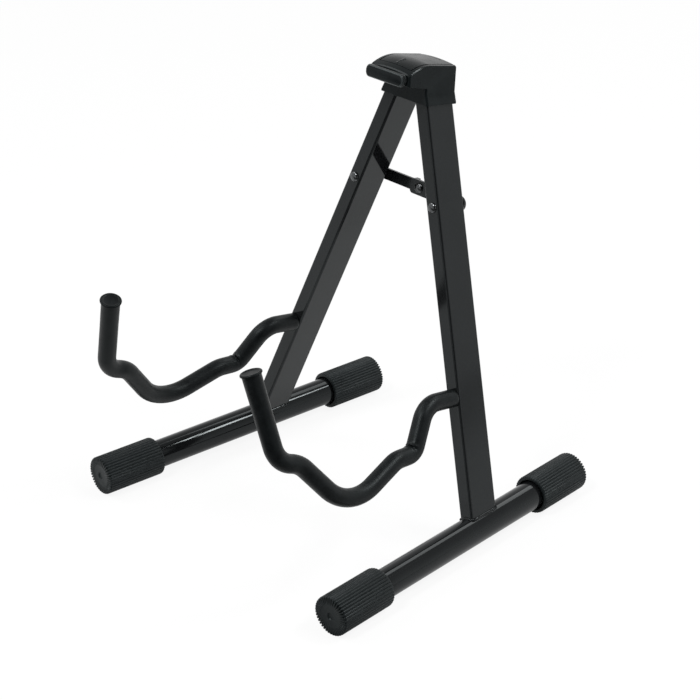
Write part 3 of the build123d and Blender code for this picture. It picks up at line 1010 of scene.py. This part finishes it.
@dataclass
class Head:
    """Moulded head with its cover, bumper and hinge pins."""

    front: float = 38.0
    half_depth: float = 17.8
    shell_round: float = 0.55
    cover_round: float = 0.5
    gather: float = 0.3           # edges shorter than this are drawn together first
    cover_fit: float = 0.97       # the cover's width as a share of its solid's, for an open seam
    rib_half: float = 0.8         # the cover's rib is within this of the middle
    rib_along: tuple[float, float] = (21.5, 31.5)   # and between these ahead of the legs' middle
    rib_foot: float = 2.6         # width of the rib's foot as a share of its solid's
    rib_ridge: float = 0.3        # and of its ridge
    rib_step: float = 0.1         # vertices this close along the rib are in one section
    bumper_up: float = 358.7
    bumper_corner: float = 3.4
    corner_steps: int = 8
    bumper_crisp: float = 40.0    # edges of the bumper sharper than this are shaded crisp
    rim_from: float = 0.3         # faces of the painted rim highlight, by how far they face the front
    rim_to: float = 0.93
    # the bumper from the nose forward: (ahead of the nose, width, height)
    bumper_steps: Triples = (
        (0.0, 39.0, 7.4), (1.1, 39.0, 7.4), (1.1, 41.5, 9.4), (1.3, 42.0, 9.8), (2.2, 42.0, 9.8),
        (2.4, 41.5, 9.4), (2.4, 39.0, 7.4), (3.2, 39.0, 7.4), (3.2, 42.0, 9.6), (3.35, 42.7, 10.3),
        (3.7, 43.0, 10.6), (5.2, 43.0, 10.6), (5.7, 42.8, 10.4), (6.1, 42.4, 10.0),
        (6.45, 41.7, 9.3), (6.68, 40.8, 8.4), (6.8, 39.8, 7.4))
    pin_radius: float = 3.0
    pin_head: float = 4.6
    pin_head_height: float = 2.2
    pin_collar: float = 0.3
    pin_inset: float = 0.2

    def build(self) -> None:
        """Make the head, cover, bumper and hinge pins."""
        shell = replica("head_shell", "head_housing", self.shell_round, self.gather)
        dress(shell, HEAD_ABS, "head", "head_plastic", "head_housing")
        cover = replica("head_cover", "head_top_cover", self.cover_round, self.gather)
        cover.scale.x = self.cover_fit
        settle()
        self.slope_rib(cover)
        dress(cover, COVER_ABS, "head", "cover_plastic", "head_top_cover")
        bumper = self.bumper("neck_rest")
        dress(bumper, BUMPER_RUBBER, "head", "bumper_rubber", "bumper_pad")
        # the bumper's rim gets a painted highlight in a paler rubber
        self.paint_rim_highlight(bumper)
        hinge = STANCE.a_frame() @ shift(STANCE.hinge_half, 0, STANCE.hinge_up()) @ TO_BACK
        for side in Side:
            pin = set_down(self.hinge_pin(f"{side.value}_hinge_rivet"), hinge, side)
            dress(pin, RIVET_STEEL, "head", "rivet_steel", f"{side.value}_hinge_pin")

    def slope_rib(self, cover: bpy.types.Object) -> None:
        """Give the cover's short rib gently sloping sides, which catch the light one by one.

        Args:
            cover: Cover in its place.
        """
        to_a = STANCE.a_frame().inverted()
        rib: list[tuple[bpy.types.MeshVertex, Vector]] = []
        for vertex in cover.data.vertices:
            spot = to_a @ vertex.co / MM
            if abs(spot.x) < self.rib_half and self.rib_along[0] < -spot.y < self.rib_along[1]:
                rib.append((vertex, spot))
        for vertex, spot in rib:
            heights = [other.z for _, other in rib if abs(other.y - spot.y) < self.rib_step]
            on_ridge = spot.z > (min(heights) + max(heights)) / 2
            vertex.co.x *= self.rib_ridge if on_ridge else self.rib_foot
        keep_flats(cover)

    def bumper(self, name: str) -> bpy.types.Object:
        """Soft front plate, a thin flange behind it and the neck that they stand on.

        Args:
            name: Name of the new piece.

        Returns:
            The bumper in its place on the front of the head.
        """
        _, width, height = self.bumper_steps[0]
        deselect()
        bpy.ops.mesh.primitive_plane_add(size=1, rotation=(radians(90), 0, 0))
        piece = bpy.context.object
        piece.name = name
        piece.data.name = name
        piece.scale = (width * MM, height * MM, 1)
        settle()
        edit(piece)
        bpy.ops.mesh.select_all(action="SELECT")
        bpy.ops.mesh.bevel(offset=self.bumper_corner * MM, segments=self.corner_steps,
                           affect="VERTICES")
        bpy.ops.mesh.select_all(action="SELECT")
        for (near, wide, high), (far, wider, higher) in zip(self.bumper_steps,
                                                            self.bumper_steps[1:]):
            forward = (0, (near - far) * MM, 0)
            bpy.ops.mesh.extrude_region_move(TRANSFORM_OT_translate={"value": forward})
            bpy.ops.transform.resize(value=(wider / wide, 1, higher / high),
                                     center_override=(0, 0, 0))
        finish_mesh(piece, self.bumper_crisp)
        place = STANCE.a_frame() @ shift(0, -self.front, self.bumper_up)
        return set_down(piece, place, Side.RIGHT)

    def paint_rim_highlight(self, bumper: bpy.types.Object) -> None:
        """Paint a highlight on the rounded rim of the bumper's front plate, in a paler rubber.

        Args:
            bumper: Bumper in its place, dressed.
        """
        # painted highlight: the rim faces get the paler rubber in place of light catching the rim
        bumper.data.materials.append(RIM_HIGHLIGHT_RUBBER.material())
        ahead = STANCE.a_frame().to_3x3() @ Vector((0, -1, 0))
        for face in bumper.data.polygons:
            facing = face.normal.dot(ahead)
            if self.rim_from < facing < self.rim_to and len(face.vertices) == 4:
                face.material_index = 1

    def hinge_pin(self, name: str) -> bpy.types.Object:
        """Hinge pin along Z, flush in front and domed behind.

        Args:
            name: Name of the new piece.

        Returns:
            The pin about its middle.
        """
        head = dome(self.pin_radius, self.pin_head, self.pin_head_height, self.pin_collar,
                    self.pin_inset)
        profile = [(-self.half_depth, self.pin_radius)]
        profile += [(self.half_depth + up, radius) for up, radius in head]
        return turned(name, profile, RIVET_SIDES)


@dataclass(frozen=True)
class Lamp:
    """Soft square lamp that points at the stand."""

    name: str
    place: tuple[float, float, float]   # where it hangs, in metres
    size: float                         # length of its side, in metres
    watts: float

    def hang(self, aim: Vector) -> None:
        """Hang the lamp.

        Args:
            aim: Spot that it points at, in metres.
        """
        data = bpy.data.lights.new(self.name, "AREA")
        data.size = self.size
        data.energy = self.watts
        lamp = bpy.data.objects.new(self.name, data)
        lamp.location = self.place
        lamp.rotation_euler = (aim - Vector(self.place)).to_track_quat("-Z", "Y").to_euler()
        bpy.context.collection.objects.link(lamp)


@dataclass
class Studio:
    """White studio: camera at the photograph's angle, floor, lamps and world."""

    azimuth: float = 46.86
    elevation: float = 26.97
    distance: float = 1798.0
    lens: float = 106.1
    sensor: float = 36.0
    sight: float = 50.0           # the camera sees as far as this, in metres
    aim: tuple[float, float, float] = (-23.66, 43.68, 124.17)
    lamp_aim: tuple[float, float, float] = (0.0, 0.0, 0.2)   # metres
    floor_size: float = 12.0      # metres
    floor_drop: float = 0.05      # the floor lies this far under the feet
    floor_glow: float = 0.9       # share of the floor's white that shadows don't touch
    mirror_glow: float = 0.45     # the same share where the floor is mirrored in the stand
    floor_white: float = 0.85
    # gloss sees the floor fade to floor_far between these, towards the camera, in metres
    floor_edge: tuple[float, float] = (0.1, 0.34)
    floor_far: float = 0.12
    world_level: float = 0.33
    # gloss sees the room fade to this overhead, between these heights of its direction
    ceiling: float = 0.35
    ceiling_edge: tuple[float, float] = (0.15, 0.9)
    # gloss sees the room dark behind the camera, between these degrees from the camera's line
    dark_level: float = 0.02
    dark_edge: tuple[float, float] = (18.0, 46.0)
    lamps: tuple[Lamp, ...] = (
        Lamp("back", (1.15, 1.42, 2.5), 0.6, 30.0),
        Lamp("rear", (-0.5, 2.15, 2.5), 1.2, 14.0),
        Lamp("side", (1.77, 0.83, 2.63), 0.5, 20.0),
        Lamp("front", (0.1, -1.7, 2.5), 0.5, 38.0),
        Lamp("key", (-1.9, -1.05, 2.6), 1.4, 28.0))

    def build(self) -> None:
        """Set up the camera, floor, lamps and world."""
        self.camera()
        self.floor()
        for lamp in self.lamps:
            lamp.hang(Vector(self.lamp_aim))
        self.world()
        bpy.context.scene.view_settings.view_transform = "Standard"

    def to_camera(self) -> Vector:
        """Direction from the stand to the camera."""
        turn, rise = radians(self.azimuth), radians(self.elevation)
        return Vector((sin(turn) * cos(rise), -cos(turn) * cos(rise), sin(rise)))

    def camera(self) -> None:
        """Place the camera and make it the scene's own."""
        back = self.to_camera()
        data = bpy.data.cameras.new("camera")
        data.lens = self.lens
        data.sensor_width = self.sensor
        data.clip_end = self.sight
        camera = bpy.data.objects.new("camera", data)
        camera.location = Vector(self.aim) * MM + back * self.distance * MM
        camera.rotation_euler = (-back).to_track_quat("-Z", "Y").to_euler()
        bpy.context.collection.objects.link(camera)
        bpy.context.scene.camera = camera

    def floor(self) -> None:
        """Lay a white floor that keeps the stand's shadow."""
        deselect()
        bpy.ops.mesh.primitive_plane_add(size=self.floor_size,
                                         location=(0, 0, -self.floor_drop * MM))
        floor = bpy.context.object
        floor.name = "studio_floor"
        settle()
        floor.data.materials.append(self.paper())

    def paper(self) -> bpy.types.Material:
        """Make the floor's white paper, which glows a little so that its shadows stay pale.

        Returns:
            The material.
        """
        paper = bpy.data.materials.new("white_paper")
        paper.use_nodes = True
        tree = paper.node_tree
        tree.nodes.clear()
        rays = add_node(tree, "ShaderNodeLightPath").outputs
        place = add_node(tree, "ShaderNodeTexCoord").outputs["Object"]
        ahead = add_node(tree, "ShaderNodeVectorMath", {"operation": "DOT_PRODUCT"}, {
            0: place, 1: self.to_camera().xy.normalized().to_3d()})
        fade = add_node(tree, "ShaderNodeMapRange", {"interpolation_type": "SMOOTHSTEP"}, {
            "Value": ahead.outputs["Value"],
            "From Min": self.floor_edge[0], "From Max": self.floor_edge[1],
            "To Min": 1.0, "To Max": self.floor_far})
        plain = add_node(tree, "ShaderNodeMath", {"operation": "SUBTRACT"}, {
            0: 1.0, 1: rays["Is Glossy Ray"]})
        level = add_node(tree, "ShaderNodeMath", {"operation": "MAXIMUM"}, {
            0: fade.outputs["Result"], 1: plain.outputs["Value"]})
        tone = add_node(tree, "ShaderNodeMath", {"operation": "MULTIPLY"}, {
            0: level.outputs["Value"], 1: self.floor_white})
        matt = add_node(tree, "ShaderNodeBsdfDiffuse", inputs={"Color": tone.outputs["Value"]})
        glow = add_node(tree, "ShaderNodeEmission", inputs={
            "Color": linear("#ffffff"), "Strength": level.outputs["Value"]})
        mirrored = add_node(tree, "ShaderNodeMath", {"operation": "MULTIPLY"}, {
            0: rays["Is Glossy Ray"], 1: self.mirror_glow})
        direct = add_node(tree, "ShaderNodeMath", {"operation": "MULTIPLY"}, {
            0: rays["Is Camera Ray"], 1: self.floor_glow})
        share = add_node(tree, "ShaderNodeMath", {"operation": "ADD"}, {
            0: mirrored.outputs["Value"], 1: direct.outputs["Value"]})
        mixed = add_node(tree, "ShaderNodeMixShader", inputs={
            "Fac": share.outputs["Value"],
            1: matt.outputs["BSDF"], 2: glow.outputs["Emission"]})
        add_node(tree, "ShaderNodeOutputMaterial", inputs={"Surface": mixed.outputs["Shader"]})
        return paper

    def world(self) -> None:
        """Fill the studio with even light, white to the camera and fading overhead in gloss."""
        world = bpy.data.worlds.new("studio")
        bpy.context.scene.world = world
        world.use_nodes = True
        tree = world.node_tree
        tree.nodes.clear()
        rays = add_node(tree, "ShaderNodeLightPath").outputs
        way = add_node(tree, "ShaderNodeTexCoord").outputs["Generated"]
        facing = add_node(tree, "ShaderNodeVectorMath", {"operation": "DOT_PRODUCT"}, {
            0: way, 1: self.to_camera()})
        walls = add_node(tree, "ShaderNodeMapRange", {"interpolation_type": "SMOOTHSTEP"}, {
            "Value": facing.outputs["Value"],
            "From Min": cos(radians(self.dark_edge[0])),
            "From Max": cos(radians(self.dark_edge[1])),
            "To Min": self.dark_level, "To Max": 1.0})
        height = add_node(tree, "ShaderNodeSeparateXYZ", inputs={"Vector": way})
        roof = add_node(tree, "ShaderNodeMapRange", inputs={
            "Value": height.outputs["Z"],
            "From Min": self.ceiling_edge[0], "From Max": self.ceiling_edge[1],
            "To Min": 1.0, "To Max": self.ceiling})
        dim = add_node(tree, "ShaderNodeMath", {"operation": "MULTIPLY"}, {
            0: walls.outputs["Result"], 1: roof.outputs["Result"]})
        even, room, white = [
            add_node(tree, "ShaderNodeBackground", inputs={
                "Color": linear("#ffffff"), "Strength": strength}).outputs["Background"]
            for strength in (self.world_level, dim.outputs["Value"], 1.0)]
        lit = add_node(tree, "ShaderNodeMixShader", inputs={
            "Fac": rays["Is Glossy Ray"], 1: even, 2: room})
        seen = add_node(tree, "ShaderNodeMath", {"operation": "MAXIMUM"}, {
            0: rays["Is Camera Ray"], 1: rays["Is Transmission Ray"]})
        mixed = add_node(tree, "ShaderNodeMixShader", inputs={
            "Fac": seen.outputs["Value"], 1: lit.outputs["Shader"], 2: white})
        add_node(tree, "ShaderNodeOutputWorld", inputs={"Surface": mixed.outputs["Shader"]})


def main() -> None:
    """Build and dress the stand and set up the studio."""
    logging.basicConfig(level=logging.INFO, format="%(message)s")
    for side in Side:
        for part in (Leg(side), Foot(side), Arm(side)):
            part.build()
    Brace().build()
    Head().build()
    Studio().build()
    deselect()


if __name__ == "__main__":
    main()
